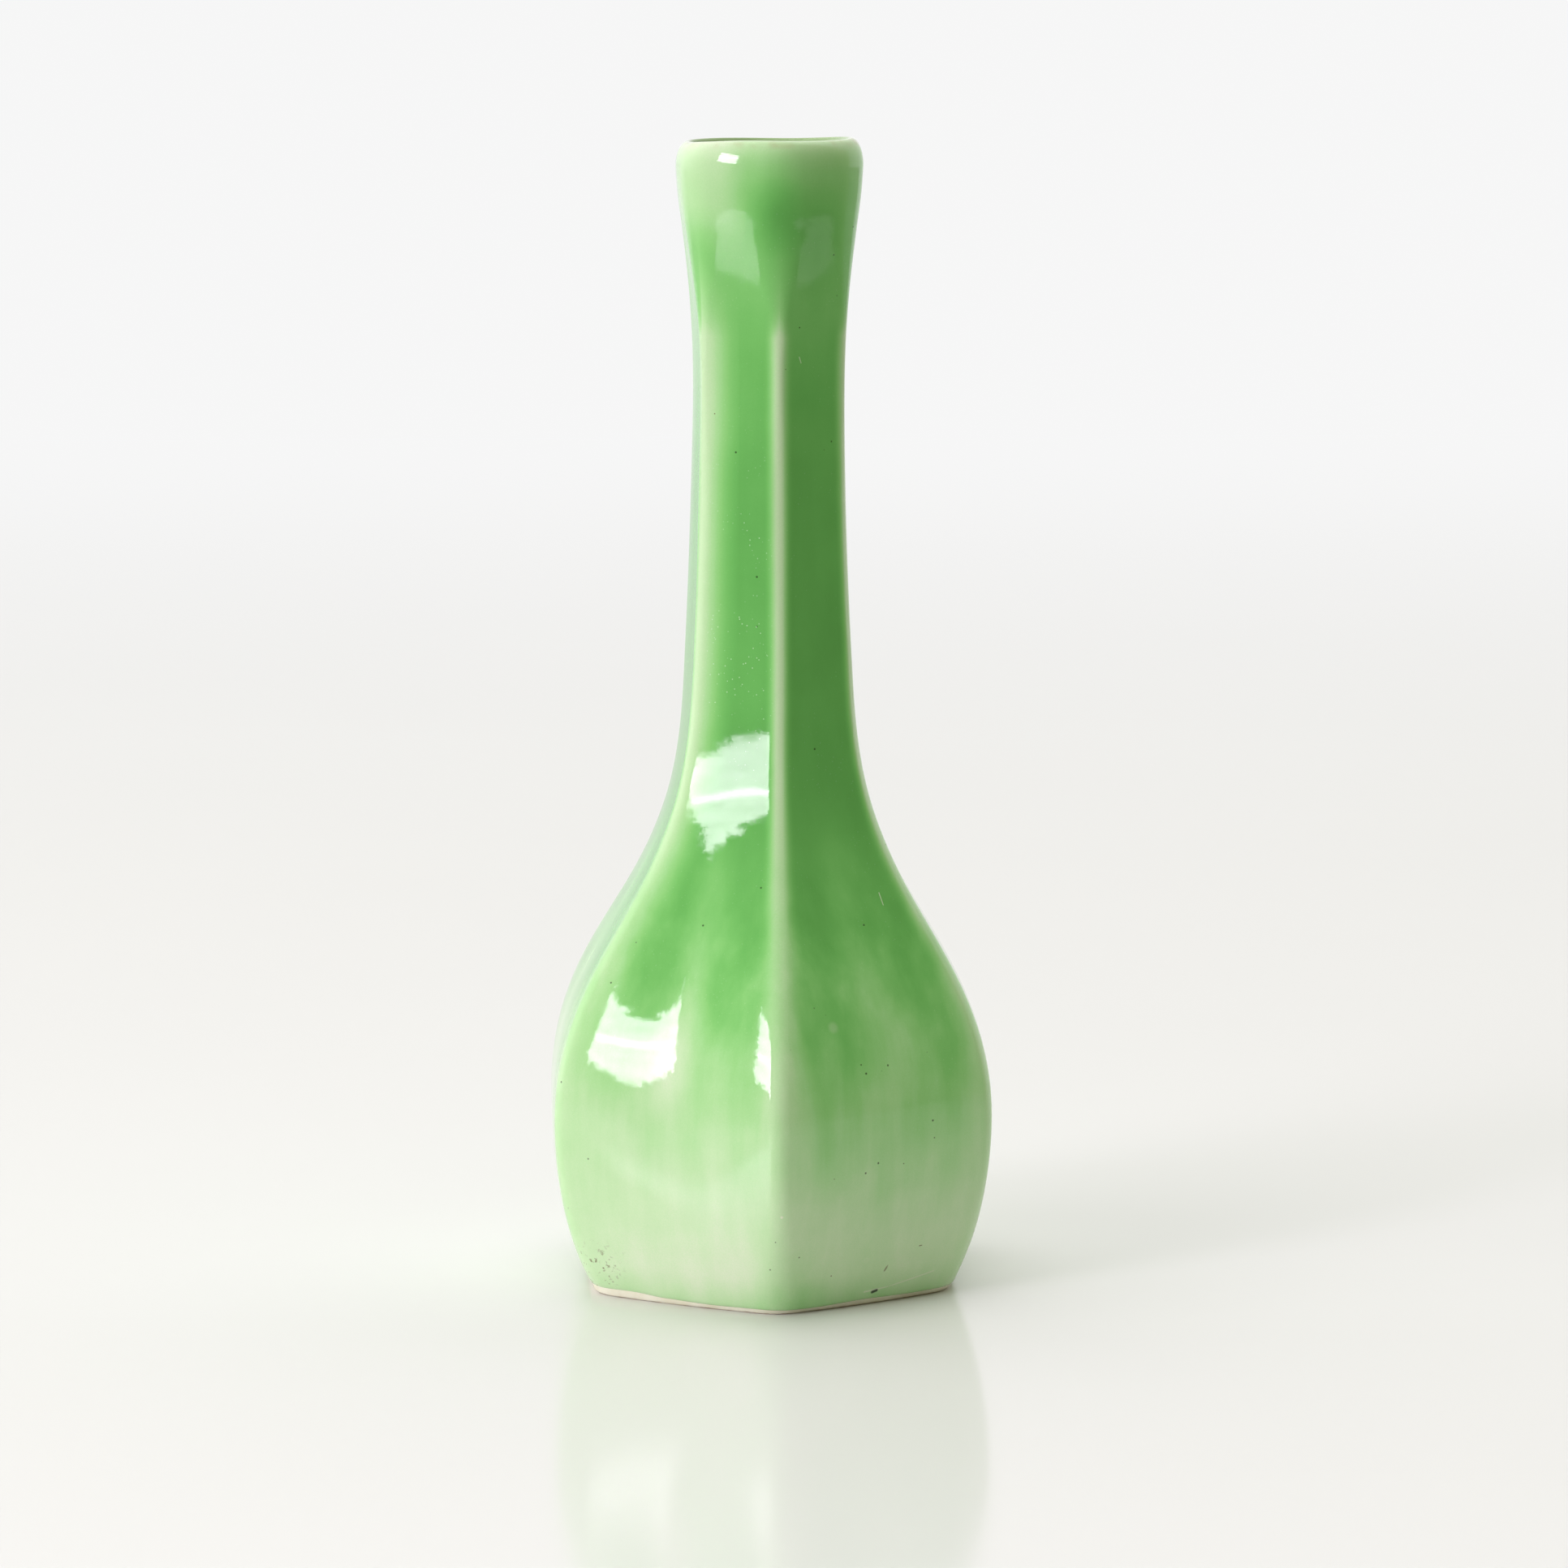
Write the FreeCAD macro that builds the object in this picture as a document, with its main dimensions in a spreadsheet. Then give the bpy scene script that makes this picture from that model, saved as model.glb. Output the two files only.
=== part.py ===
import FreeCAD, Part
import math
import os

import Sketcher

# Six-sided bud vase with a bottle neck, slip-cast in white earthenware and glazed.
# Origin at the centre of the foot, +Z up through the neck, one ridge of the foot on -Y.
#
# A level cut through the vase is a hexagon with bowed faces and rounded ridges. Lofts
# through thirteen such cuts, the stations, make every wall surface: the outside of the
# glaze as listed, and the clay and the cavity by insets from it. The upper stations are
# turned a little, so the ridges wind up the shoulder.

SIDES = 6
STEP = 2 * math.pi / SIDES
LETTERS = "ABCDEF"
# degrees round from the wall at which a rounded end is cut; it stops short of lying flat
ROUNDING = (0, 28, 56, 80)

# station: height, width across the faces, ridge radius, radius of the bowed face,
# turn in degrees, thickness of the clay wall
STATION_SIZES = ("height", "width", "ridge", "bow", "turn", "wall")
STATIONS = {
    "foot": (0, 57.7, 6.6, 140, 0, 3.0),
    "heel": (6, 62.5, 5.8, 170, 0, 3.0),
    "lower_belly": (20, 68.5, 3.6, 330, 0, 3.0),
    "upper_belly": (35, 68.4, 3.4, 330, 0, 3.0),
    "shoulder": (50, 58.2, 3.4, 280, 0.5, 3.0),
    "upper_shoulder": (64, 42.1, 3.3, 200, 1.6, 3.0),
    "neck_root": (78, 30.5, 3.0, 180, 3.0, 3.0),
    "lower_neck": (98, 25.2, 2.6, 400, 4.6, 3.0),
    "middle_neck": (130, 23.0, 2.6, 600, 4.9, 3.0),
    "upper_neck": (152, 23.2, 2.8, 600, 4.9, 2.9),
    "collar": (166, 26.7, 7.4, 300, 4.9, 2.7),
    "flare": (174, 28.9, 9.2, 300, 4.9, 2.4),
    "lip": (180, 29.7, 9.6, 300, 4.9, 2.2),
}

SIZES = {
    "outer_glaze": 0.4,
    "inner_glaze": 0.3,
    "glaze_line": 0.9,
    "lip_outer_round": 1.5,
    "lip_inner_round": 0.6,
    "cavity_softening": 1.5,
    "floor_top": 5.2,
    "floor_round": 4.0,
    "foot_ring": 5.0,
    "foot_round": 0.5,
    "recess_depth": 1.6,
    "recess_round": 0.5,
    "recess_glaze": 0.3,
    "recess_glaze_margin": 0.6,
    "divider_share": 0.6,
    "divider_overrun": 1.0,
}

doc = FreeCAD.newDocument("BudVase")
sheet = doc.addObject("Spreadsheet::Sheet", "Sizes")


def fill_sheet():
    """One row for each station, then one row for each single size; every number has an alias."""
    row = 1
    for station, numbers in STATIONS.items():
        for letter, size_name, number in zip(LETTERS, STATION_SIZES, numbers):
            name_cell(f"{letter}{row}", f"{station}_{size_name}", number)
        row += 1
    for name, number in SIZES.items():
        name_cell(f"A{row}", name, number)
        row += 1
    doc.recompute()


def name_cell(cell, alias, number):
    sheet.set(cell, str(number))
    sheet.setAlias(cell, alias)


def value(formula):
    """The number that a formula over the sheet's aliases comes to."""
    return float(sheet.evalExpression(formula.replace("Sizes.", "")))


def new_body(name):
    body = doc.addObject("PartDesign::Body", name)
    body.Label = name
    return body


def level_sketch(body, name, height, turn="0"):
    """A sketch on a level plane of the body, at a bound height and turned by a bound angle."""
    sketch = body.newObject("Sketcher::SketchObject", name)
    plane = next(f for f in body.Origin.OriginFeatures if f.Role == "XY_Plane")
    sketch.AttachmentSupport = (plane, [""])
    sketch.MapMode = "FlatFace"
    sketch.setExpression("AttachmentOffset.Base.z", height)
    sketch.setExpression("AttachmentOffset.Rotation.Angle", turn)
    return sketch


def bowed_hexagon(sketch, half_width, bow, ridge):
    """Six wide arcs for the faces, joined by six tangent arcs of the ridge radius."""
    centre_offset = value(f"{half_width} - ({bow})")
    bow_radius = value(bow)
    ridge_radius = value(ridge)
    # distance from the axis to a ridge arc's centre, where it touches both faces' arcs
    across = math.sqrt((bow_radius - ridge_radius) ** 2 - (centre_offset * math.sin(STEP / 2)) ** 2)
    ridge_offset = centre_offset * math.cos(STEP / 2) + across
    # half the angle that a face's arc covers about its own centre
    reach = math.atan2(
        ridge_offset * math.sin(STEP / 2),
        ridge_offset * math.cos(STEP / 2) - centre_offset,
    )
    for side in range(SIDES):
        facing = side * STEP
        corner = facing + STEP / 2
        face = Part.Circle(polar(centre_offset, facing), FreeCAD.Vector(0, 0, 1), bow_radius)
        round_off = Part.Circle(polar(ridge_offset, corner), FreeCAD.Vector(0, 0, 1), ridge_radius)
        sketch.addGeometry(Part.ArcOfCircle(face, facing - reach, facing + reach))
        sketch.addGeometry(Part.ArcOfCircle(round_off, facing + reach, facing + STEP - reach))
    constrain_hexagon(sketch, half_width, bow, ridge)


def polar(radius, angle):
    return FreeCAD.Vector(radius * math.cos(angle), radius * math.sin(angle), 0)


def constrain_hexagon(sketch, half_width, bow, ridge):
    """Tangent all round, equal faces and ridges, and each face's centre bound to the sheet."""
    for side in range(SIDES):
        face, round_off, next_face = 2 * side, 2 * side + 1, (2 * side + 2) % (2 * SIDES)
        sketch.addConstraint(Sketcher.Constraint("Tangent", face, 2, round_off, 1))
        sketch.addConstraint(Sketcher.Constraint("Tangent", round_off, 2, next_face, 1))
        centre = sketch.Geometry[face].Center
        degrees = 360 * side / SIDES
        offset = f"({half_width} - ({bow}))"
        bind(sketch, ("DistanceX", -1, 1, face, 3, centre.x), f"{offset} * cos({degrees} deg)")
        bind(sketch, ("DistanceY", -1, 1, face, 3, centre.y), f"{offset} * sin({degrees} deg)")
        if side:
            sketch.addConstraint(Sketcher.Constraint("Equal", 0, face))
            sketch.addConstraint(Sketcher.Constraint("Equal", 1, round_off))
    bind(sketch, ("Radius", 0, value(bow)), bow)
    bind(sketch, ("Radius", 1, value(ridge)), ridge)


def bind(sketch, constraint, formula):
    index = sketch.addConstraint(Sketcher.Constraint(*constraint))
    sketch.setExpression(f"Constraints[{index}]", formula)


def station_sketch(body, name, station, inset, height, softening="0"):
    """The vase's outline at one station, moved inwards by inset, its ridges softened."""
    sketch = level_sketch(body, name, height, f"Sizes.{station}_turn")
    ridge_inset = "0" if softening != "0" else inset
    bowed_hexagon(
        sketch,
        half_width=f"Sizes.{station}_width / 2 - ({inset})",
        bow=f"Sizes.{station}_bow - ({inset})",
        ridge=f"Sizes.{station}_ridge + {softening} - ({ridge_inset})",
    )
    return sketch


def rounded_end(body, prefix, station, inset, level, radius, inward, upward, softening="0"):
    """Outlines round an edge of the wall, ending flat at a level."""
    last = ROUNDING[-1]
    return [
        station_sketch(
            body,
            f"{prefix}_{station}_{degrees}",
            station,
            inset=f"{inset} + {inward} * ({radius}) * (1 - cos({degrees} deg))",
            height=f"{level} - {upward} * ({radius}) * (sin({last} deg) - sin({degrees} deg))",
            softening=softening,
        )
        for degrees in ROUNDING
    ]


def loft(body, kind, name, sketches):
    feature = body.newObject(f"PartDesign::{kind}", name)
    feature.Profile = sketches[0]
    feature.Sections = sketches[1:]
    feature.Ruled = False
    return feature


def outside_loft(body, inset, lip_level, lip_round):
    """A solid of the vase's outer form, inset, with its foot and its lip rounded."""
    foot = rounded_end(
        body, "Outside", "foot", inset, "Sizes.foot_height", "Sizes.foot_round", inward=1, upward=-1
    )
    wall = [
        station_sketch(body, f"Outside_{station}", station, inset, f"Sizes.{station}_height")
        for station in list(STATIONS)[1:-1]
    ]
    lip = rounded_end(body, "Outside", "lip", inset, lip_level, lip_round, inward=1, upward=1)
    return loft(body, "AdditiveLoft", "Outside", foot[::-1] + wall + lip)


def cavity_inset(station, coat):
    return f"Sizes.outer_glaze + Sizes.{station}_wall + {coat}"


def cavity_loft(body, coat, floor_level, floor_round, lip_level, lip_round):
    """Hollows a pot from a rounded inside floor to the lip, coat thinner than the clay's cavity."""
    soft = "Sizes.cavity_softening"
    floor = rounded_end(
        body, "Cavity", "heel", cavity_inset("heel", coat), floor_level, floor_round, 1, -1, soft
    )
    wall = [
        station_sketch(
            body,
            f"Cavity_{station}",
            station,
            cavity_inset(station, coat),
            f"Sizes.{station}_height",
            soft,
        )
        for station in list(STATIONS)[2:-1]
    ]
    lip = rounded_end(body, "Cavity", "lip", cavity_inset("lip", coat), lip_level, lip_round, -1, 1, soft)
    return loft(body, "SubtractiveLoft", "Cavity", floor[::-1] + wall + lip)


def recess_loft(body, ring, depth):
    """Hollows the underside inside a ring, with a rounded corner at its ceiling."""
    soft = "Sizes.cavity_softening"
    rim = station_sketch(body, "Recess_rim", "foot", ring, "Sizes.foot_height", soft)
    ceiling = rounded_end(body, "Recess", "foot", ring, depth, "Sizes.recess_round", 1, 1, soft)
    return loft(body, "SubtractiveLoft", "Recess", [rim] + ceiling)


def make_clay_body():
    """The cast pot itself, bare of glaze, with a recess under its foot."""
    body = new_body("clay_body")
    lip_level = "Sizes.lip_height - Sizes.outer_glaze"
    outside_loft(body, "Sizes.outer_glaze", lip_level, "Sizes.lip_outer_round")
    cavity_loft(
        body, "0", "Sizes.floor_top", "Sizes.floor_round", lip_level, "Sizes.lip_inner_round"
    )
    doc.recompute()
    volume = body.Shape.Volume
    recess_loft(body, "Sizes.foot_ring", "Sizes.recess_depth")
    doc.recompute()
    if body.Shape.Volume >= volume:
        raise RuntimeError("the foot recess cuts nothing")
    return body


def make_glaze_coats(clay_body):
    """The coat round the clay, parted along the crest of the lip into outside and inside.

    The glazed pot ends at the glaze line, and is hollowed from there up to the clay's floor,
    so that nothing of its foot is left outside the clay.
    """
    glazed_pot = new_body("glazed_pot")
    lip_level = "Sizes.lip_height"
    outside_loft(glazed_pot, "0", lip_level, "Sizes.lip_outer_round + Sizes.outer_glaze")
    cavity_loft(
        glazed_pot,
        "Sizes.inner_glaze",
        "Sizes.floor_top + Sizes.inner_glaze",
        "Sizes.floor_round - Sizes.inner_glaze",
        lip_level,
        "Sizes.lip_inner_round + Sizes.inner_glaze",
    )
    recess_loft(glazed_pot, "Sizes.foot_ring / 2", "Sizes.recess_depth + Sizes.recess_glaze")
    wipe_foot(glazed_pot)
    divider = make_divider()
    coat = boolean("Cut", "whole_coat", glazed_pot, clay_body)
    return boolean("Cut", "outer_glaze", coat, divider), boolean("Common", "inner_glaze", coat, divider)


def wipe_foot(body):
    """Cuts the pot off level at the glaze line."""
    outline = station_sketch(body, "Wiped", "foot", "-Sizes.foot_ring", "Sizes.foot_height")
    wiped = body.newObject("PartDesign::Pocket", "WipedFoot")
    wiped.Profile = outline
    wiped.Reversed = True
    wiped.setExpression("Length", "Sizes.glaze_line")


def make_divider():
    """A solid of everything inside a line through the wall, which parts the coat at the lip."""
    body = new_body("coat_divider")
    heights = {
        "heel": "Sizes.floor_top - Sizes.inner_glaze",
        "lip": "Sizes.lip_height + Sizes.divider_overrun",
    }
    sketches = []
    for station in list(STATIONS)[1:]:
        inset = f"Sizes.outer_glaze + Sizes.divider_share * Sizes.{station}_wall"
        height = heights.get(station, f"Sizes.{station}_height")
        sketches.append(station_sketch(body, f"Divider_{station}", station, inset, height))
    loft(body, "AdditiveLoft", "Divider", sketches)
    return body


def boolean(kind, name, base, tool):
    feature = doc.addObject(f"Part::{kind}", name)
    feature.Label = name
    feature.Base = base
    feature.Tool = tool
    return feature


def make_foot_recess_glaze():
    """The thin sheet of glaze on the recess's ceiling."""
    body = new_body("foot_recess_glaze")
    outline = station_sketch(
        body,
        "Outline",
        "foot",
        "Sizes.foot_ring + Sizes.recess_glaze_margin",
        "Sizes.recess_depth - Sizes.recess_glaze",
        "Sizes.cavity_softening",
    )
    coat = body.newObject("PartDesign::Pad", "Coat")
    coat.Profile = outline
    coat.setExpression("Length", "Sizes.recess_glaze")
    return body


def check_document():
    for thing in doc.Objects:
        if {"Invalid", "Error"} & set(thing.State):
            raise RuntimeError(f"{thing.Label} did not recompute: {thing.State}")


def export(parts):
    os.makedirs("parts", exist_ok=True)
    for part in parts:
        shape = part.Shape
        if shape.isNull() or not shape.isValid():
            raise RuntimeError(f"{part.Label} has no valid shape")
        shape.exportStep(f"parts/{part.Label}.step")
        size = shape.BoundBox
        print(
            f"{part.Label}: {len(shape.Solids)} solid, {len(shape.Faces)} faces, "
            f"{shape.Volume / 1000:.2f} cm3, "
            f"{size.XLength:.2f} x {size.YLength:.2f} x {size.ZLength:.2f} mm"
        )


fill_sheet()
clay = make_clay_body()
outer_glaze, inner_glaze = make_glaze_coats(clay)
recess_glaze = make_foot_recess_glaze()
doc.recompute()
check_document()
export([clay, outer_glaze, inner_glaze, recess_glaze])
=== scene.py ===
import math

import bpy
import numpy as np
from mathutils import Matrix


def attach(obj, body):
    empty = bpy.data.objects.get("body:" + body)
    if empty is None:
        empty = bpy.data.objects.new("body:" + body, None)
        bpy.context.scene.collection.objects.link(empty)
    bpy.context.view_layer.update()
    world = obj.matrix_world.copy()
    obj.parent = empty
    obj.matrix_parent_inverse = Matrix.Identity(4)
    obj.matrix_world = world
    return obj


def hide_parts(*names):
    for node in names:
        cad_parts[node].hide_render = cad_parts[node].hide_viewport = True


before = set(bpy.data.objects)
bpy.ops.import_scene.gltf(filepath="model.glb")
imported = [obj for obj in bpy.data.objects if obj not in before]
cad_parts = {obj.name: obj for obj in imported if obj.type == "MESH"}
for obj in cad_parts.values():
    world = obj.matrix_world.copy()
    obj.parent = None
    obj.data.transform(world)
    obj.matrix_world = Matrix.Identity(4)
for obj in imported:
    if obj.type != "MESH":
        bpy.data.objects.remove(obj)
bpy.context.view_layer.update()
scene = bpy.context.scene
scene.view_settings.view_transform = "Standard"
mm = 0.001

# ---- camera

view = {
    "distance": 0.9403,
    "height": 0.2119,
    "azimuth": -2.6,  # degrees round from -Y
    "pitch": 8.07,  # degrees down
    "yaw": -0.15,  # degrees, so the vase stands a little left of centre
    "lens": 137.9,
    "sensor": 36.0,
}


def placeCamera(v):
    lens = bpy.data.cameras.new("Camera")
    lens.lens = v["lens"]
    lens.sensor_width = v["sensor"]
    lens.clip_end = 200
    camera = bpy.data.objects.new("Camera", lens)
    scene.collection.objects.link(camera)
    turn = math.radians(v["azimuth"])
    camera.location = (v["distance"] * math.sin(turn), -v["distance"] * math.cos(turn), v["height"])
    camera.rotation_euler = (math.radians(90 - v["pitch"]), 0, turn + math.radians(v["yaw"]))
    scene.camera = camera


placeCamera(view)
print("camera placed")

# ---- shader sockets that take part in sums


class Wire:
    def __init__(self, tree, socket):
        self.tree, self.socket = tree, socket

    def math(self, operation, *others, clamp=False):
        node = self.tree.nodes.new("ShaderNodeMath")
        node.operation, node.use_clamp = operation, clamp
        for slot, term in zip(node.inputs, (self, *others)):
            feed(self.tree, slot, term)
        return Wire(self.tree, node.outputs[0])

    def vector(self, operation, other=None, out=0):
        node = self.tree.nodes.new("ShaderNodeVectorMath")
        node.operation = operation
        for slot, term in zip(node.inputs, (self, other)):
            feed(self.tree, slot, term)
        return Wire(self.tree, node.outputs[out])

    def times(self, vector):  # this number times a vector or a colour
        node = self.tree.nodes.new("ShaderNodeVectorMath")
        node.operation = "SCALE"
        feed(self.tree, node.inputs[0], vector)
        feed(self.tree, node.inputs["Scale"], self)
        return Wire(self.tree, node.outputs[0])

    def __add__(self, other):
        return self.math("ADD", other)

    def __sub__(self, other):
        return self.math("SUBTRACT", other)

    def __mul__(self, other):
        return self.math("MULTIPLY", other)

    def __truediv__(self, other):
        return self.math("DIVIDE", other)

    def __rsub__(self, other):
        return self * -1 + other

    __radd__ = __add__
    __rmul__ = __mul__

    def between(self, low, high):  # 0 at low, 1 at high, smooth between; low may be the larger
        node = self.tree.nodes.new("ShaderNodeMapRange")
        node.interpolation_type = "SMOOTHSTEP"
        for slot, term in zip(node.inputs[:5], (self, low, high, 0, 1)):
            feed(self.tree, slot, term)
        return Wire(self.tree, node.outputs[0])


def feed(tree, slot, term):
    if isinstance(term, Wire):
        tree.links.new(term.socket, slot)
    elif term is not None:
        slot.default_value = term


class Recipe:  # the nodes of a material or of the world
    def __init__(self, name, holder=None):
        self.holder = holder or bpy.data.materials.new(name)
        self.holder.use_nodes = True
        self.tree = self.holder.node_tree
        self.tree.nodes.clear()

    def add(self, kind, settings=None, sockets=None, out=0):
        node = self.tree.nodes.new("ShaderNode" + kind)
        for name, value in (settings or {}).items():
            if name == "stops":
                setStops(node.color_ramp, value)
            else:
                setattr(node, name, value)
        for name, term in (sockets or {}).items():
            feed(self.tree, node.inputs[name], term)
        return Wire(self.tree, node.outputs[out])

    def place(self):
        return self.add("TexCoord", out=3)

    def split(self, where):  # the x, y and z of a position
        first = self.add("SeparateXYZ", sockets={0: where})
        return [Wire(self.tree, socket) for socket in first.socket.node.outputs]

    def noise(self, where, scale, detail=3.0, roughness=0.5, stretch=(1, 1, 1), shift=(0, 0, 0)):
        moved = self.add("Mapping", sockets={"Vector": where, "Scale": stretch, "Location": shift})
        sockets = {"Vector": moved, "Scale": scale, "Detail": detail, "Roughness": roughness}
        return self.add("TexNoise", sockets=sockets)

    def mix(self, factor, first, second):
        return self.add("Mix", {"data_type": "RGBA"}, {0: factor, 6: first, 7: second}, out=2)

    def finish(self, surface, end="OutputMaterial"):
        node = self.tree.nodes.new("ShaderNode" + end)
        self.tree.links.new(surface.socket, node.inputs["Surface"])
        return self.holder


def setStops(ramp, stops):
    ramp.elements[0].position, ramp.elements[0].color = stops[0][0], (*stops[0][1], 1)
    ramp.elements[1].position, ramp.elements[1].color = stops[-1][0], (*stops[-1][1], 1)
    for place, colour in stops[1:-1]:
        ramp.elements.new(place).color = (*colour, 1)


# ---- the vase's form, shared by its clay and its glazes; lengths in mm

form = {
    "sides": 6,
    "heights": [0, 6, 20, 35, 50, 64, 78, 98, 130, 152, 166, 174, 180],
    "widths": [57.7, 62.5, 68.5, 68.4, 58.2, 42.1, 30.5, 25.2, 23.0, 23.2, 26.7, 28.9, 29.7],
    "ridges": [6.6, 5.8, 3.6, 3.4, 3.4, 3.3, 3.0, 2.6, 2.6, 2.8, 8.6, 9.6, 9.8],
    "bows": [140, 170, 330, 330, 280, 200, 180, 400, 600, 600, 70, 30, 22],
    "turns": [0, 0, 0, 0, 0.5, 1.6, 3.0, 4.6, 4.9, 4.9, 4.9, 4.9, 4.9],
    "walls": [3, 3, 3, 3, 3, 3, 3, 3, 3, 2.9, 2.7, 2.4, 2.2],
    "acrossSide": 48,  # grid columns on each side
    "ridgeCrowding": 1.8,  # how much closer the columns lie at a ridge
    "sharpestRidge": 0.4,
    "roundestRidge": 0.97,  # as a share of the half width
    "outerGlaze": 0.4,
    "innerGlaze": 0.3,
    "height": 180.0,
    "crest": 2.2,  # from the outer wall to the crest of the lip
    "lipDrop": 4.4,  # height of the lip's outer round
    "innerDrop": 1.6,  # height of the lip's inner round
    "floor": 5.2,
    "floorRound": 4.0,
    "footRing": 5.0,
    "footRound": 0.5,
    "recess": 1.6,
}


def curveThrough(knots, values):
    # natural cubic spline: its second derivatives solve one linear system
    knots, values = np.array(knots, float), np.array(values, float)
    step = np.diff(knots)
    slope = np.diff(values) / step
    matrix = np.diag(np.r_[1, 2 * (step[:-1] + step[1:]), 1])
    matrix += np.diag(np.r_[0, step[1:]], 1) + np.diag(np.r_[step[:-1], 0], -1)
    bend = np.linalg.solve(matrix, np.r_[0, 6 * np.diff(slope), 0])

    def at(z):
        z = np.clip(z, knots[0], knots[-1])
        i = np.clip(np.searchsorted(knots, z) - 1, 0, len(step) - 1)
        left, right = z - knots[i], knots[i + 1] - z
        cubes = (bend[i] * right**3 + bend[i + 1] * left**3) / (6 * step[i])
        a = values[i] / step[i] - bend[i] * step[i] / 6
        b = values[i + 1] / step[i] - bend[i + 1] * step[i] / 6
        return cubes + a * right + b * left

    return at


width = curveThrough(form["heights"], form["widths"])
ridge = curveThrough(form["heights"], form["ridges"])
wall = curveThrough(form["heights"], form["walls"])


def smooth(x, low, high):  # 0 at low, 1 at high, smooth between; low may be the larger
    t = np.clip((x - low) / (high - low), 0, 1)
    return t * t * (3 - 2 * t)


def columns():
    # angles from the middle of a face, -30 to 30 degrees, crowded at the ridges, for every side:
    # 1 less the power of the share left to the ridge, times 30 degrees
    t = np.linspace(-1, 1, form["acrossSide"], endpoint=False)
    off = np.sign(t) * (1 - (1 - np.abs(t)) ** form["ridgeCrowding"]) * math.pi / 6
    sides = np.arange(form["sides"])[:, None] * math.pi / 3
    return np.tile(off, form["sides"]), (sides + off[None, :]).ravel()


def outlineRadius(off, halfWidth, bowRadius, ridgeRadius):
    # a ray from the axis meets the face's arc, or near a corner the ridge's arc, each by the
    # cosine rule; the two arcs are tangent where they change over
    back = bowRadius - halfWidth
    reach = -back * math.cos(math.pi / 6) + np.sqrt(
        (bowRadius - ridgeRadius) ** 2 - (back * math.sin(math.pi / 6)) ** 2
    )
    cornerX, cornerY = reach * math.cos(math.pi / 6), reach * math.sin(math.pi / 6)
    length = np.hypot(cornerX + back, cornerY)
    tangentX = cornerX + ridgeRadius * (cornerX + back) / length
    tangentY = cornerY + ridgeRadius * cornerY / length
    change = np.arctan2(tangentY, tangentX)
    toRidge = math.pi / 6 - np.abs(off)
    face = -back * np.cos(off) + np.sqrt(bowRadius**2 - (back * np.sin(off)) ** 2)
    inRound = np.maximum(ridgeRadius**2 - (reach * np.sin(toRidge)) ** 2, 0)
    corner = reach * np.cos(toRidge) + np.sqrt(inRound)
    return np.where(np.abs(off) > change, corner, face)


handMade = {
    "waves": 7,
    "waveHeight": 0.05,
    "waveClimb": (0.02, 0.11),  # slowest and quickest change with height, radians per mm
    "wavesFade": (4, 25),  # heights between which the waves set in
    "hollows": [0.1, 0.3, 0.1, 0.2, 1.2, 0.1],  # how far each face of the belly sinks
    "hollowsFrom": (14, 38),  # heights between which the hollows set in
    "hollowsTo": (68, 48),  # and between which they end
    "lipTilt": 0.25,
    "lipTiltTowards": math.radians(-35),
    "lipWave": 0.14,
}


class Skin:
    # rows of points round the form: row i lies at height z[i] and inset[i] inside the outer wall,
    # so its half width, its bow and its ridge rounding are each less by inset[i]
    def __init__(self, z, inset):
        self.level, inset = np.asarray(z, float)[:, None], np.asarray(inset, float)[:, None]
        self.off, angle = columns()
        halfWidth = width(self.level) / 2 - inset
        bow = np.interp(self.level, form["heights"], form["bows"]) - inset
        sharpest, roundest = form["sharpestRidge"], halfWidth * form["roundestRidge"]
        ridgeRadius = np.clip(ridge(self.level) - inset, sharpest, roundest)
        self.radius = outlineRadius(self.off[None, :], halfWidth, bow, ridgeRadius)
        turn = np.radians(np.interp(self.level, form["heights"], form["turns"]))
        self.angle = angle[None, :] + turn
        self.off = self.off[None, :] + 0 * self.radius
        self.level = self.level + 0 * self.radius
        self.side = np.repeat(np.arange(form["sides"]), form["acrossSide"])[None, :]
        self.z = self.level.copy()
        self.wander()

    def wander(self):
        # the casting's unevenness: the radius gains a sum of slow waves, products of a sine of the
        # angle and a sine of the height, and loses a squared cosine across each face; the lip's
        # height gains a cosine of the angle for its tilt and a sine of three times it for its wave
        waves = np.random.default_rng(3)
        total = np.zeros_like(self.radius)
        for _ in range(handMade["waves"]):
            turns, climb = waves.integers(1, 7), waves.uniform(*handMade["waveClimb"])
            start, begin = waves.uniform(0, 2 * math.pi, 2)
            total += np.sin(turns * self.angle + start) * np.sin(climb * self.level + begin)
        self.radius += handMade["waveHeight"] * total * smooth(self.level, *handMade["wavesFade"])
        sunk = np.array(handMade["hollows"])[self.side] * np.cos(3 * self.off) ** 2
        low = smooth(self.level, *handMade["hollowsFrom"])
        self.radius -= sunk * low * smooth(self.level, *handMade["hollowsTo"])
        lift = handMade["lipTilt"] * np.cos(self.angle - handMade["lipTiltTowards"])
        lift += handMade["lipWave"] * np.sin(3 * self.angle + 1.1)
        self.z += lift * smooth(self.level, 165, 180)


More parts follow.
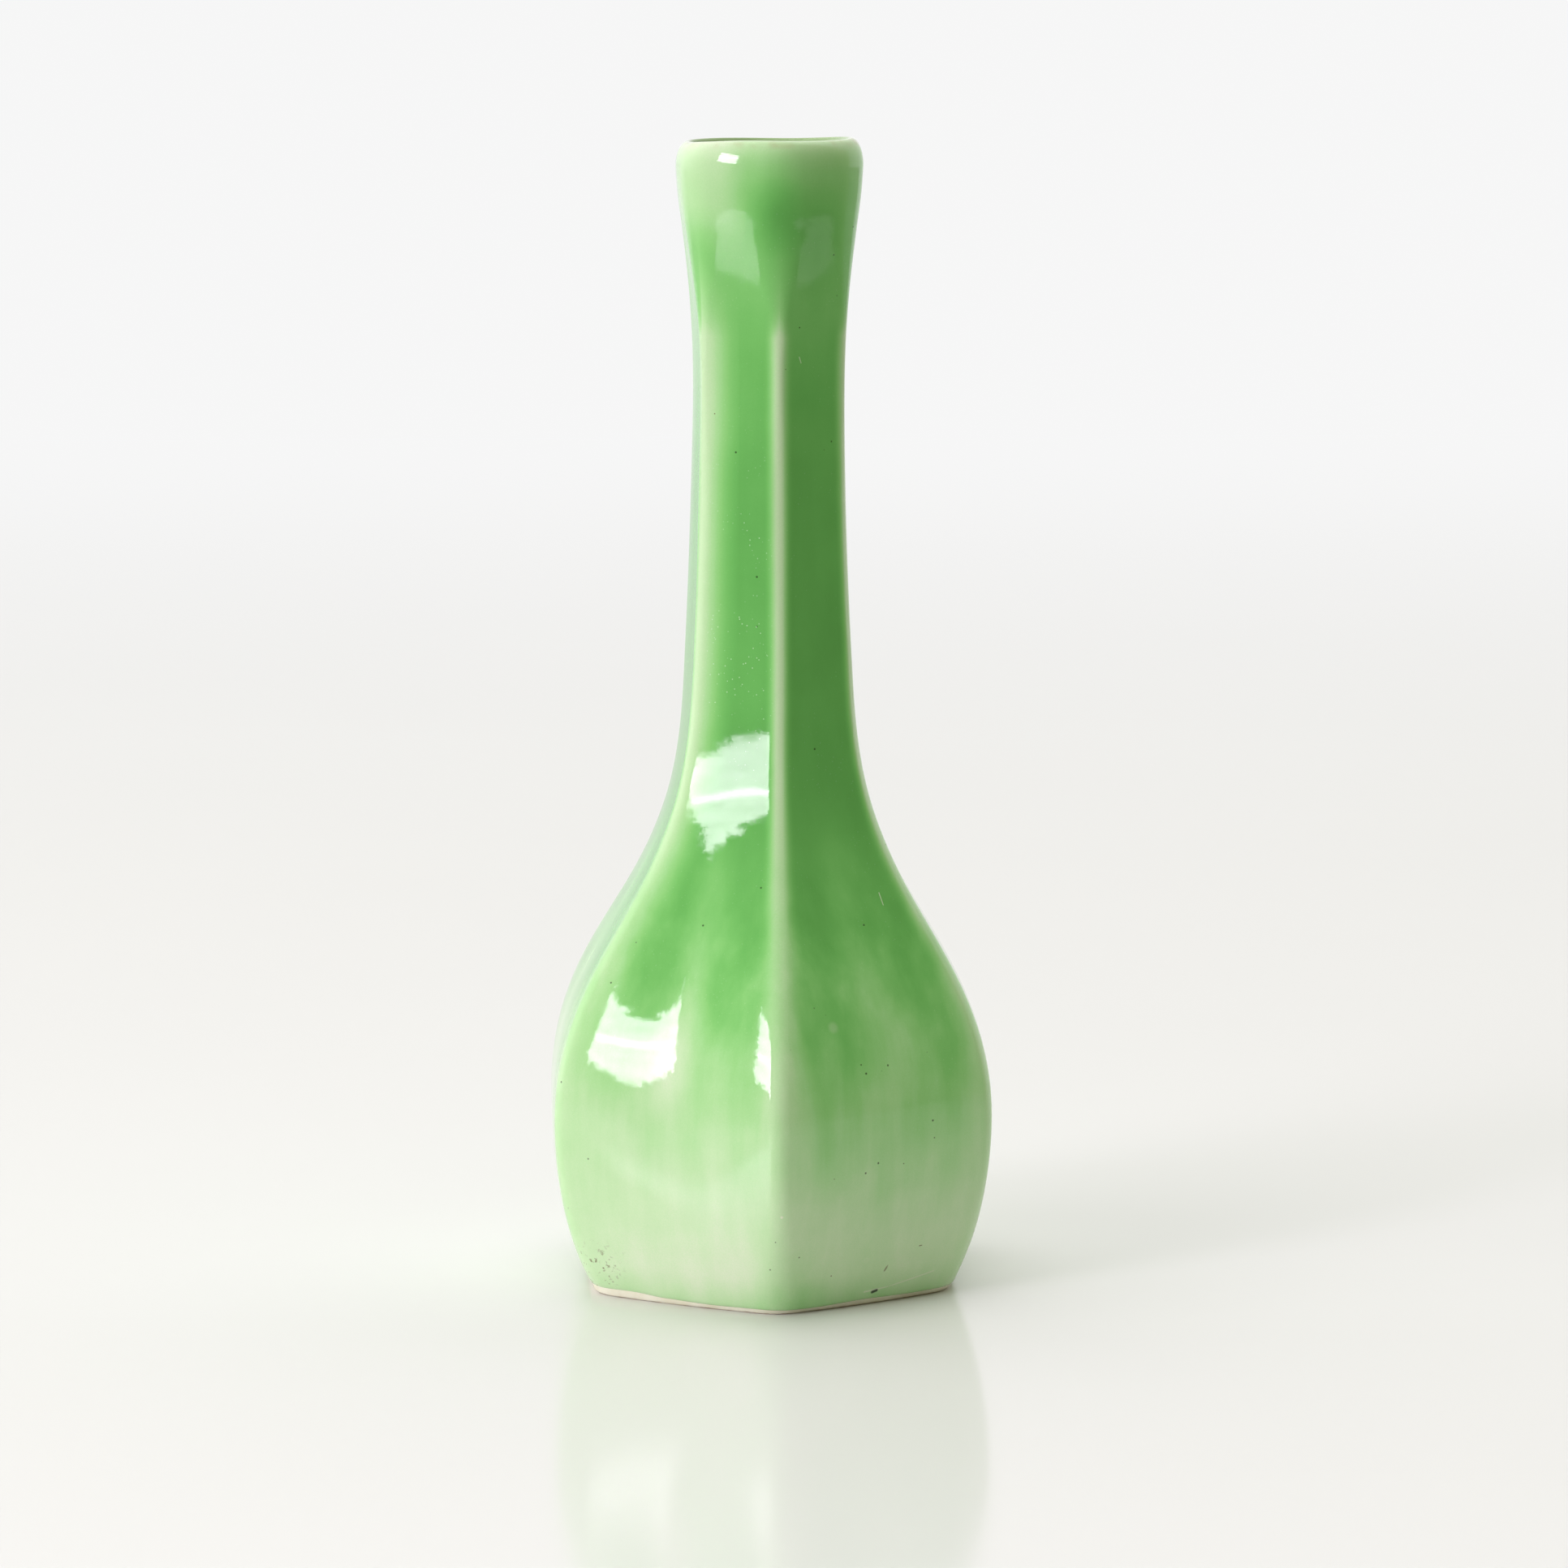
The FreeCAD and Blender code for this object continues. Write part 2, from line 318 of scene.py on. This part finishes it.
def makeMesh(name, skin, loop=False, poles=False):
    # a grid wrapped round the axis, x and y the radius times the cosine and sine of the angle;
    # with loop its last row joins its first, with poles its first and last rows close to a point
    rows, cols = skin.radius.shape
    flat = [skin.radius * np.cos(skin.angle), skin.radius * np.sin(skin.angle), skin.z]
    points = np.stack(flat, -1).reshape(-1, 3)
    i, j = np.meshgrid(np.arange(rows if loop else rows - 1), np.arange(cols), indexing="ij")
    here, there, after = i * cols, ((i + 1) % rows) * cols, (j + 1) % cols
    quads = np.stack([here + j, here + after, there + after, there + j], -1).reshape(-1, 4)
    loops, sizes = [quads.ravel()], [np.full(len(quads), 4)]
    if poles:
        k = np.arange(cols)
        last = (rows - 1) * cols
        first, final = points[:cols].mean(0), points[last:].mean(0)
        pole = len(points)
        points = np.vstack([points, first, final])
        loops.append(np.stack([(k + 1) % cols, k, np.full(cols, pole)], -1).ravel())
        loops.append(np.stack([last + k, last + (k + 1) % cols, np.full(cols, pole + 1)], -1).ravel())
        sizes.append(np.full(2 * cols, 3))
    loops, sizes = np.concatenate(loops), np.concatenate(sizes)
    mesh = bpy.data.meshes.new(name)
    mesh.vertices.add(len(points))
    mesh.vertices.foreach_set("co", (points * mm).astype(np.float32).ravel())
    mesh.loops.add(len(loops))
    mesh.loops.foreach_set("vertex_index", loops.astype(np.int32))
    mesh.polygons.add(len(sizes))
    mesh.polygons.foreach_set("loop_start", np.r_[0, np.cumsum(sizes)[:-1]].astype(np.int32))
    mesh.polygons.foreach_set("loop_total", sizes.astype(np.int32))
    mesh.update(calc_edges=True)
    mesh.validate()
    mesh.shade_smooth()
    piece = bpy.data.objects.new(name, mesh)
    scene.collection.objects.link(piece)
    return piece


def addValue(piece, name, numbers):  # a number on every point; a pole takes that of its ring
    numbers = np.asarray(numbers, np.float32)
    spare = len(piece.data.vertices) - numbers.size
    ends = [numbers[0].mean(), numbers[-1].mean()][:spare]
    numbers = np.r_[numbers.ravel(), np.array(ends, np.float32)]
    piece.data.attributes.new(name, "FLOAT", "POINT").data.foreach_set("value", numbers)


def finishPiece(piece, node, material):
    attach(piece, "root")
    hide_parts(node)
    piece.data.materials.append(material)
    print(piece.name, "made:", len(piece.data.polygons), "faces")


def quarter(count, start=0.0, end=90.0):  # cosines and sines along an arc, in degrees
    phi = np.radians(np.linspace(start, end, count))
    return np.cos(phi), np.sin(phi)


# ---- bare clay

clay = {
    "cream": (0.98, 0.94, 0.80, 1),
    "shade": (0.92, 0.86, 0.69, 1),
    "burnt": (0.40, 0.19, 0.07, 1),
    "burntShare": 0.7,
    "burntTo": 0.22,  # height in mm that the burnt edge reaches
    "recessRound": 0.5,  # radius where the recess meets the foot ring
    "rows": 90,
    "ringRows": 6,
}


def cavityLine(coat, rows):
    # inset and height from the crest of the lip down the bore to the middle of the floor
    thick = form["outerGlaze"] + coat
    lipWall = thick + form["walls"][-1]
    cos, sin = quarter(12, 90, 0)
    drop = form["innerDrop"]
    top = form["height"] - form["outerGlaze"] + coat
    lipInset = lipWall - (lipWall - form["crest"]) * (1 - cos)
    lipZ = top - drop * (1 - sin)
    low = form["floor"] + coat + form["floorRound"]
    z = np.linspace(top - drop, low, rows)[1:]
    wallInset = thick + wall(z)
    cos, sin = quarter(12)
    floorZ = low - form["floorRound"] * sin[1:]
    floorInset = wallInset[-1] + form["floorRound"] * (1 - cos[1:])
    half = float(width(np.array([floorZ[-1]]))[0]) / 2
    across = np.linspace(floorInset[-1], half, 10)[1:-1]
    inset = np.r_[lipInset, wallInset, floorInset, across]
    return inset, np.r_[lipZ, z, floorZ, 0 * across + floorZ[-1]]


def clayMaterial():
    r = Recipe("bare clay")
    where = r.place()
    x, y, z = r.split(where)
    spread = r.noise(where, 260, 3, 0.6)
    colour = r.mix(spread.between(0.35, 0.7), clay["cream"], clay["shade"])
    ragged = z / mm + (r.noise(where, 420, 3, 0.6, shift=(0.2, 0, 0)) - 0.5) * 0.9
    low = 1 - ragged.between(-0.10, clay["burntTo"])
    colour = r.mix(low * clay["burntShare"], colour, clay["burnt"])
    grain = r.noise(where, 4000, 2, 0.6)
    bump = r.add("Bump", sockets={"Strength": 0.4, "Distance": 0.00005, "Height": grain})
    return r.finish(r.add("BsdfPrincipled", sockets={
        "Base Color": colour, "Roughness": 0.72 + grain * 0.1, "Normal": bump}))


def makeClay():
    # one profile from the middle of the recess, round the foot ring, up the wall, over the lip
    # and down the bore to the middle of the floor; each rounding is a quarter of an ellipse
    half = form["widths"][0] / 2
    corner = clay["recessRound"]
    recess = np.linspace(half, form["footRing"] + corner, clay["ringRows"] + 1)[1:]
    cos, sin = quarter(5, 90, 0)
    cornerInset = form["footRing"] + corner * (1 - cos)
    cornerZ = form["recess"] - corner * (1 - sin)
    sideZ = np.linspace(cornerZ[-1], 0, 4)[1:]
    ring = np.linspace(form["footRing"], form["outerGlaze"] + form["footRound"], 6)[1:]
    cos, sin = quarter(5, 90, 0)
    footInset = form["outerGlaze"] + form["footRound"] * (1 - cos[1:])
    footZ = form["footRound"] * (1 - sin[1:])
    top = form["height"] - form["outerGlaze"]
    drop = form["lipDrop"] - form["outerGlaze"]
    up = np.linspace(form["footRound"], top - drop, clay["rows"])[1:]
    cos, sin = quarter(8)
    lipInset = form["outerGlaze"] + (form["crest"] - form["outerGlaze"]) * (1 - cos[1:])
    lipZ = top - drop * (1 - sin[1:])
    boreInset, boreZ = cavityLine(0.0, clay["rows"])
    inset = np.r_[recess, cornerInset[1:], 0 * sideZ + form["footRing"], ring, footInset,
                  0 * up + form["outerGlaze"], lipInset, boreInset[1:]]
    z = np.r_[0 * recess + form["recess"], cornerZ[1:], sideZ, 0 * ring, footZ, up, lipZ, boreZ[1:]]
    piece = makeMesh("bare_clay_pot", Skin(z, inset), poles=True)
    finishPiece(piece, "clay_body", clayMaterial())


makeClay()

# ---- green glaze

glaze = {
    "clay": (0.93, 0.93, 0.80),
    "absorb": (2.45, 0.82, 2.75),  # how fast red, green and blue fade with depth
    "milk": (0.10, 0.13, 0.08),  # light that the glaze itself scatters back
    "deepest": 1.6,
    "roughness": 0.02,
}

# marks on the glaze: two ends in mm, radius, share of the mark's colour, and height of its bump
pale, iron, brown = (0.86, 0.93, 0.72, 1), (0.018, 0.03, 0.01, 1), (0.13, 0.09, 0.02, 1)
marks = [
    ((13.7, -26.5, 2.4), (17.5, -24.6, 2.7), 0.22, 0.7, 1.0, pale),
    ((17.5, -24.6, 2.7), (24.9, -20.5, 4.3), 0.18, 0.6, 0.8, pale),
    ((15.0, -25.6, 2.2), (15.6, -25.3, 2.4), 0.42, 0.95, 0.0, iron),
    ((16.9, -26.3, 5.6), (17.3, -26.1, 6.6), 0.24, 0.7, 0.0, brown),
    ((22.5, -24.1, 9.1), (22.9, -23.9, 9.1), 0.16, 0.8, 0.0, brown),
    ((8.3, -31.1, 6.0), (8.3, -31.1, 6.0), 0.18, 0.8, 0.0, brown),
    ((-0.6, -36.8, 12.7), (-0.6, -36.8, 12.7), 0.16, 0.8, 0.0, iron),
    ((0.3, -37.9, 16.8), (0.3, -37.9, 16.8), 0.30, 0.9, 1.0, pale),
    ((8.6, -31.2, 45.1), (8.6, -31.2, 45.1), 1.2, 0.16, 0.9, pale),
    ((13.9, -28.7, 7.9), (13.9, -28.7, 7.9), 0.8, 0.14, 0.7, pale),
    ((16.6, -14.8, 63.4), (17.2, -15.6, 61.6), 0.13, 0.6, 0.5, pale),
    ((4.3, -10.8, 146.8), (4.6, -10.6, 145.9), 0.13, 0.5, 0.4, pale),
    ((4.3, -11.1, 151.4), (4.3, -11.1, 151.4), 0.20, 0.85, 0.0, iron),
    ((2.1, -12.2, 145.0), (2.1, -12.2, 145.0), 0.14, 0.8, 0.0, iron),
    ((-8.7, -8.4, 137.9), (-8.7, -8.4, 137.9), 0.15, 0.8, 0.0, brown),
    ((16.2, -29.5, 37.9), (16.2, -29.5, 37.9), 0.15, 0.8, 0.0, iron),
    ((19.7, -28.5, 23.1), (19.7, -28.5, 23.1), 0.17, 0.8, 0.0, iron),
    ((9.4, -2.3, 180.0), (9.9, -2.6, 180.0), 0.22, 0.8, 0.0, brown),
    ((10.9, -9.4, 179.8), (10.9, -9.4, 179.8), 0.25, 0.8, 0.0, brown),
]


def glazeColour(depth):
    # light passes the glaze and comes back: each colour falls off exponentially with depth
    fade = [c * math.exp(-a * depth) for c, a in zip(glaze["clay"], glaze["absorb"])]
    return tuple(f + m * (1 - math.exp(-3 * depth)) for f, m in zip(fade, glaze["milk"]))


def nearness(where, start, end, radius):
    # 1 near the line from start to end, 0 beyond the radius, by the distance to the line's
    # nearest point: the share along it is the dot product over the length squared, held in 0 to 1
    along = np.array(end) - np.array(start)
    length = float(along @ along)
    fromStart = where.vector("SUBTRACT", tuple(np.array(start) * mm))
    gap = fromStart
    if length:
        share = fromStart.vector("DOT_PRODUCT", tuple(along * mm), out=1) / (length * mm * mm)
        share = share.math("MAXIMUM", 0).math("MINIMUM", 1)
        gap = fromStart.vector("SUBTRACT", share.times(tuple(along * mm)))
    distance = gap.vector("LENGTH", out=1)
    return distance.between(radius * mm, radius * mm * 0.35)


def addMarks(r, where, colour, height):
    for start, end, radius, share, lift, paint in marks:
        near = nearness(where, start, end, radius)
        colour = r.mix(near * share, colour, paint)
        if lift:
            height = height + near * lift
    return colour, height


def addIron(r, where, colour):
    # brown iron specks thinly everywhere, and a crowd of them low on the left
    x, y, z = r.split(where)
    specks = r.add("TexVoronoi", sockets={"Vector": where, "Scale": 210}, out=0)
    colour = r.mix((1 - specks.between(0.02, 0.05)) * 0.8, colour, iron)
    corner = x.between(-0.0225, -0.027) * z.between(0.0105, 0.006) * (1 - y.between(-0.015, -0.010))
    veins = r.noise(where, 900, 4, 0.7).between(0.57, 0.65)
    return r.mix(veins * corner * 0.75, colour, brown)


def addBubbles(r, where, colour):
    # tiny pale closed bubbles, most of them on the left of the neck
    x, y, z = r.split(where)
    bubbles = r.add("TexVoronoi", sockets={"Vector": where, "Scale": 1250}, out=0)
    patch = r.noise(where, 90, 2, 0.5, shift=(0, 0.4, 0.2)).between(0.42, 0.58)
    onNeck = z.between(0.078, 0.09) * z.between(0.14, 0.12) * x.between(0.001, -0.003)
    share = (1 - bubbles.between(0.06, 0.17)) * (patch * 0.12 + onNeck * patch * 0.5)
    return r.mix(share, colour, (0.78, 0.93, 0.72, 1))


def glazeMaterial(name, marked=True, olive=0.0):
    r = Recipe(name)
    where = r.place()
    x, y, z = r.split(where)
    depth = r.add("Attribute", {"attribute_name": "glazeDepth"}, out=2)
    low = z.between(0.075, 0.05)
    streaks = r.noise(where, 230, 3, 0.5, stretch=(1, 1, 0.13)) - 0.5
    cloud = r.noise(where, 95, 3, 0.5, shift=(0.3, 0.1, 0)) - 0.5
    grain = r.noise(where, 4200, 2, 0.6) - 0.5
    depth = depth * (1 + streaks * (0.2 + low * 0.7) + cloud * (0.3 + low * 0.4)) + grain * 0.10
    steps = [i / 9 for i in range(10)]
    stops = [(s, glazeColour(s * glaze["deepest"])) for s in steps]
    colour = r.add("ValToRGB", {"stops": stops}, {0: depth / glaze["deepest"]})
    height = r.noise(where, 520, 2, 0.5) * 0.5 + r.noise(where, 5200, 1, 0.5) * 0.10
    if olive:
        colour = r.mix(olive, colour, (0.16, 0.17, 0.05, 1))
    if marked:
        crest = z.between(0.1787, 0.1798) * r.noise(where, 220, 2, 0.5).between(0.42, 0.62)
        colour = r.mix(crest * 0.45, colour, (0.50, 0.47, 0.24, 1))
        colour = addBubbles(r, where, addIron(r, where, colour))
        colour, height = addMarks(r, where, colour, height)
    bump = r.add("Bump", sockets={"Strength": 0.5, "Distance": 0.00003, "Height": height})
    return r.finish(r.add("BsdfPrincipled", sockets={
        "Base Color": colour, "Roughness": glaze["roughness"], "IOR": 1.52, "Normal": bump}))


outer = {
    "rows": 190,
    "lipRows": 14,
    "beadRows": 5,
    "backRows": 20,
    "glazeLine": 0.82,  # height of the wiped edge
    "beadHeight": 0.7,  # height over which that edge swells to the full thickness
    "cornerRise": 0.55,  # how much higher it stands at the left corner
}

# the glaze's depth on the faces by height, and how it thins towards the ridges
depths = {
    "heights": [0, 2.5, 6, 12, 22, 33, 42, 50, 58, 66, 75, 85, 100, 130, 145, 156, 165, 172, 177, 180],
    # below about 12 mm the thin glaze is partly its own and partly painted light: it is made paler to
    # stand in for bounce light from the table, which the downward-facing foot gets too little of
    "faces": [0.30, 0.22, 0.15, 0.18, 0.30, 0.44, 0.62, 0.86, 1.02, 1.12, 1.2, 1.25, 1.22, 1.12, 0.95,
              0.76, 0.64, 0.56, 0.44, 0.18],
    "rampHeights": [0, 20, 45, 62, 80, 150, 162, 180],
    "cores": [0.0, 0.6, 0.6, 0.5, 0.3, 0.2, -6.0, -12.0],
    "ramps": [5.0, 6.5, 4.5, 2.6, 2.0, 2.2, 8.0, 12.0],
    "ridges": [0.22, 0.26, 0.36, 0.34, 0.22, 0.20, 0.50, 0.30],
    "sideShares": [1.1, 1.0, 0.9, 1.0, 0.84, 1.2],  # depth of the lower belly's glaze on each side
    "streak": 0.36,  # how much thinner down the middle of the shoulder
    "paleLeft": 4.4,  # how much wider the pale band is at the left of the face on the left; partly thinner glaze, partly painted reflection of the bright background on the lit side
    "thinCollar": 0.45,  # how much thinner over the left of the collar
    "thinnest": 0.03,
}

# pools of thicker glaze: degrees round from +X, height in mm, half width, half height, depth
pools = [
    (272, 168.5, 3.6, 5.5, 0.62),
    (300, 166, 5.5, 7, 0.30),
    (272, 2, 6, 3.5, 0.16),
]


def glazeDepth(skin):
    # the face's depth by height, thinning to the ridge's own over the ramp, less a bell curve
    # down the middle of the shoulder, plus a bell curve in both directions for each pool
    z, off, side = skin.level, skin.off, skin.side
    face = np.interp(z, depths["heights"], depths["faces"])
    face = face * (1 + (np.array(depths["sideShares"])[side] - 1) * smooth(z, 52, 34))
    fromRidge = skin.radius * np.sin(math.pi / 6 - np.abs(off))
    core = np.interp(z, depths["rampHeights"], depths["cores"])
    ramp = np.interp(z, depths["rampHeights"], depths["ramps"])
    # the wider pale band on the lit left edge is partly thinner glaze and partly painted reflection of
    # the bright background
    ramp = ramp + depths["paleLeft"] * (side == 4) * (off < 0) * smooth(z, 166, 156)
    onFace = smooth(fromRidge, core, core + ramp)
    crown = np.interp(z, depths["rampHeights"], depths["ridges"])
    depth = crown + (face - crown) * onFace
    sway = np.radians(2.5) * np.sin(z / 9 + 2 * side)
    middle = np.exp(-(((off - sway) / math.radians(8)) ** 2))
    onShoulder = middle * smooth(z, 80, 66) * smooth(z, 26, 42)
    depth = depth - depths["streak"] * np.where(side == 5, 0.7, 1) * onShoulder
    for degrees, level, wide, tall, deep in pools:
        around = (skin.angle - math.radians(degrees)) * skin.radius
        depth = depth + deep * np.exp(-((around / wide) ** 2) - ((z - level) / tall) ** 2)
    # thin over the left of the collar
    left = smooth(np.cos(skin.angle - math.radians(-145)), 0.75, 0.97)
    depth = depth * (1 - depths["thinCollar"] * left * smooth(z, 163, 171))
    return np.maximum(depth, depths["thinnest"])


def makeOuterGlaze():
    # a closed profile: the rounded edge at the glaze line, up the outside, a quarter round over
    # the lip to its crest, and back down against the clay
    thick, crest = form["outerGlaze"], form["crest"]
    top, drop = form["height"], form["lipDrop"]
    cos, sin = quarter(outer["beadRows"])
    beadInset = thick * (1 - sin)
    beadZ = outer["glazeLine"] + outer["beadHeight"] * (1 - cos)
    up = np.linspace(beadZ[-1], top - drop, outer["rows"])[1:]
    cos, sin = quarter(outer["lipRows"])
    lipInset = crest * (1 - cos[1:])
    lipZ = top - drop * (1 - sin[1:])
    backInset = thick + (crest - thick) * (1 - cos[::-1])
    backZ = top - thick - (drop - thick) * (1 - sin[::-1])
    down = np.linspace(backZ[-1], outer["glazeLine"], outer["backRows"])[1:-1]
    inset = np.r_[beadInset, 0 * up, lipInset, backInset, 0 * down + thick]
    z = np.r_[beadZ, up, lipZ, backZ, down]
    skin = Skin(z, inset)
    # the wiped edge wanders, and stands highest at the left corner
    away = np.cos(skin.angle - math.radians(-148))
    rise = outer["cornerRise"] * smooth(away, 0.93, 1.0) + 0.10 * np.sin(5 * skin.angle)
    rise += 0.07 * np.sin(11 * skin.angle + 1)
    skin.z += rise * smooth(skin.level, 5.0, 1.2)
    piece = makeMesh("green_glaze_coat", skin, loop=True)
    addValue(piece, "glazeDepth", glazeDepth(skin))
    finishPiece(piece, "outer_glaze", glazeMaterial("green glaze"))


makeOuterGlaze()

# ---- liner glaze inside

liner = {"rows": 80, "depth": 0.75}


def makeLiner():
    # the bore's line twice: down along the glaze's face, and back up against the clay
    frontInset, frontZ = cavityLine(form["innerGlaze"], liner["rows"])
    frontZ[:12] += form["outerGlaze"] - form["innerGlaze"]
    backInset, backZ = cavityLine(0.0, liner["rows"])
    inset, z = np.r_[backInset[::-1], frontInset], np.r_[backZ[::-1], frontZ]
    skin = Skin(z, inset)
    piece = makeMesh("liner_glaze_coat", skin, poles=True)
    addValue(piece, "glazeDepth", liner["depth"] - 0.5 * smooth(skin.level, 176, 180))
    finishPiece(piece, "inner_glaze", glazeMaterial("liner glaze", False, 0.4))


makeLiner()

# ---- glaze in the recess under the foot

recessGlaze = {"margin": 0.6, "thickness": 0.3, "rim": 0.4, "depth": 0.5}


def makeRecessGlaze():
    # a flat sheet under the recess with a rounded rim, closed by its back against the clay
    edge = form["footRing"] + recessGlaze["margin"]
    low = form["recess"] - recessGlaze["thickness"]
    half = form["widths"][0] / 2
    across = np.linspace(half, edge + recessGlaze["rim"], 9)[1:]
    cos, sin = quarter(5, 90, 0)
    roundInset = edge + recessGlaze["rim"] * (1 - cos[1:])
    roundZ = low + recessGlaze["rim"] / 2 * (1 - sin[1:])
    back = across[::-1]
    inset = np.r_[across, roundInset, edge, back]
    z = np.r_[0 * across + low, roundZ, form["recess"], 0 * back + form["recess"]]
    skin = Skin(z, inset)
    piece = makeMesh("recess_glaze_sheet", skin, poles=True)
    addValue(piece, "glazeDepth", recessGlaze["depth"] + 0 * skin.radius)
    finishPiece(piece, "foot_recess_glaze", glazeMaterial("recess glaze", False))


makeRecessGlaze()

# ---- table, room and light; lengths in m

table = {
    "edge": [(-0.62, 0.6), (-0.62, -0.10), (-0.43, -0.35), (-0.26, -0.42)],  # mirrored on the right
    "fadeFrom": 0.30,  # beyond here the table fades into the bright background
    "fadeTo": 1.6,
    "far": 30.0,
    "glow": 0.925,
}


def tableMaterial():
    r = Recipe("pale table")
    where = r.place()
    x, y, z = r.split(where)
    haze = r.noise(where, 5, 3, 0.5)
    colour = r.mix(haze, (0.86, 0.857, 0.85, 1), (0.83, 0.827, 0.82, 1))
    gloss = r.add("BsdfPrincipled", sockets={"Base Color": colour, "Roughness": 0.12, "IOR": 1.24})
    glow = r.add("Emission", sockets={"Color": (1, 1, 1, 1), "Strength": table["glow"]})
    far = y.between(table["fadeFrom"], table["fadeTo"])
    return r.finish(r.add("MixShader", sockets={0: far, 1: gloss, 2: glow}))


def makeTable():
    left, far = table["edge"], table["far"]
    right = [(-x, y) for x, y in left[::-1]]
    corners = [(x, y, 0) for x, y in left + right + [(far, far), (-far, far)]]
    mesh = bpy.data.meshes.new("table")
    mesh.from_pydata(corners, [], [tuple(range(8)), (0, 7, 8, 9)])
    mesh.materials.append(tableMaterial())
    piece = bpy.data.objects.new("table", mesh)
    scene.collection.objects.link(piece)


room = {"front": 0.15, "behind": 1.0, "seen": 0.93}


def makeRoom():
    scene.world = bpy.data.worlds.new("room")
    r = Recipe("room", scene.world)
    x, y, z = r.split(r.add("TexCoord", out=0))
    behind = y.between(-0.05, 0.30)
    bright = room["front"] + behind * (room["behind"] - room["front"])
    bright = bright * z.between(-0.10, -0.04).math("MAXIMUM", 0.35)
    warm = r.mix(x.between(-0.3, 0.5), (1.0, 0.97, 0.85, 1), (1.0, 0.97, 0.42, 1))
    warm = r.mix(behind, warm, (1.0, 0.998, 0.99, 1))
    seen = room["seen"]
    colour = r.mix(r.add("LightPath", out=0), bright.times(warm), (seen, seen, seen, 1))
    background = r.add("Background", sockets={"Color": colour, "Strength": 1.0})
    r.finish(background, "OutputWorld")


# the window's corners, in degrees round from -Y and degrees up, as seen from the vase
window = {
    "lowLeft": (-58, 10),
    "lowRight": (-45.5, 4),
    "highLeft": (-61.5, 35),
    "highRight": (-45.5, 26),
    "distance": 1.6,
    "rows": 40,
    "barLeft": 0.40,  # height of the bar as a share of the window's, at its left end
    "barRight": 0.66,
    "barWidth": 0.04,
    "radiance": 12.5,
    "colour": (1.0, 0.92, 1.05),
}


def windowMaterial():
    r = Recipe("window light")
    where = r.place()
    edge = r.add("Attribute", {"attribute_name": "edge"}, out=2)
    bar = r.add("Attribute", {"attribute_name": "bar"}, out=2)
    ragged = r.noise(where, 20, 5, 0.7) - 0.5
    opening = (edge + ragged * 0.42).between(0.02, 0.10)
    patchy = r.noise(where, 9, 3, 0.6) * 0.8 + 0.6
    dim = (patchy + bar * 0.8) * opening
    colour = dim.times(window["colour"])
    return r.finish(r.add("Emission", sockets={"Color": colour, "Strength": window["radiance"]}))


def makeWindow():
    # a patch between the four corner directions, each point its direction times the distance
    n = window["rows"]
    v, u = np.meshgrid(np.linspace(0, 1, n), np.linspace(0, 1, n), indexing="ij")
    names = ("lowLeft", "lowRight", "highLeft", "highRight")
    lowLeft, lowRight, highLeft, highRight = [np.radians(window[name]) for name in names]
    low = lowLeft + (lowRight - lowLeft) * u[..., None]
    high = highLeft + (highRight - highLeft) * u[..., None]
    around, up = np.moveaxis(low + (high - low) * v[..., None], -1, 0)
    aim = np.stack([np.sin(around) * np.cos(up), -np.cos(around) * np.cos(up), np.sin(up)], -1)
    points = (aim * window["distance"] + np.array([0, 0, 0.06])).reshape(-1, 3)
    i, j = np.meshgrid(np.arange(n - 1), np.arange(n - 1), indexing="ij")
    here = (i * n + j).ravel()
    faces = np.stack([here, here + n, here + n + 1, here + 1], -1)
    mesh = bpy.data.meshes.new("window")
    mesh.from_pydata(points.tolist(), [], faces.tolist())
    edge = np.minimum(np.minimum(u, 1 - u), np.minimum(v, 1 - v))
    barAt = window["barLeft"] + (window["barRight"] - window["barLeft"]) * u
    bar = np.exp(-(((v - barAt) / window["barWidth"]) ** 2))
    for name, numbers in (("edge", edge), ("bar", bar)):
        values = numbers.astype(np.float32).ravel()
        mesh.attributes.new(name, "FLOAT", "POINT").data.foreach_set("value", values)
    mesh.materials.append(windowMaterial())
    piece = bpy.data.objects.new("window", mesh)
    scene.collection.objects.link(piece)


# each light: degrees round from -Y, degrees up, metres away, size in metres
lights = [
    {"name": "left fill", "azimuth": -64, "elevation": 20, "distance": 1.9, "size": 1.7,
     "radiance": 2.15, "colour": (1.0, 1.0, 0.97)},
    {"name": "ceiling", "azimuth": -15, "elevation": 86, "distance": 2.2, "size": 1.8,
     "radiance": 1.9, "colour": (1.0, 0.99, 0.965)},
]


def makeLight(spec):
    lamp = bpy.data.lights.new(spec["name"], "AREA")
    lamp.size = spec["size"]
    # an area light's power is its radiance times pi times its area
    lamp.energy = spec["radiance"] * math.pi * spec["size"] ** 2
    lamp.color = spec["colour"]
    light = bpy.data.objects.new(spec["name"], lamp)
    scene.collection.objects.link(light)
    a, e, d = math.radians(spec["azimuth"]), math.radians(spec["elevation"]), spec["distance"]
    flat = d * math.cos(e)
    light.location = (flat * math.sin(a), -flat * math.cos(a), 0.06 + d * math.sin(e))
    light.rotation_euler = (math.pi / 2 - e, 0, a)
    light.visible_glossy = False


makeTable()
makeRoom()
makeWindow()
for spec in lights:
    makeLight(spec)
print("table, room and lights made")
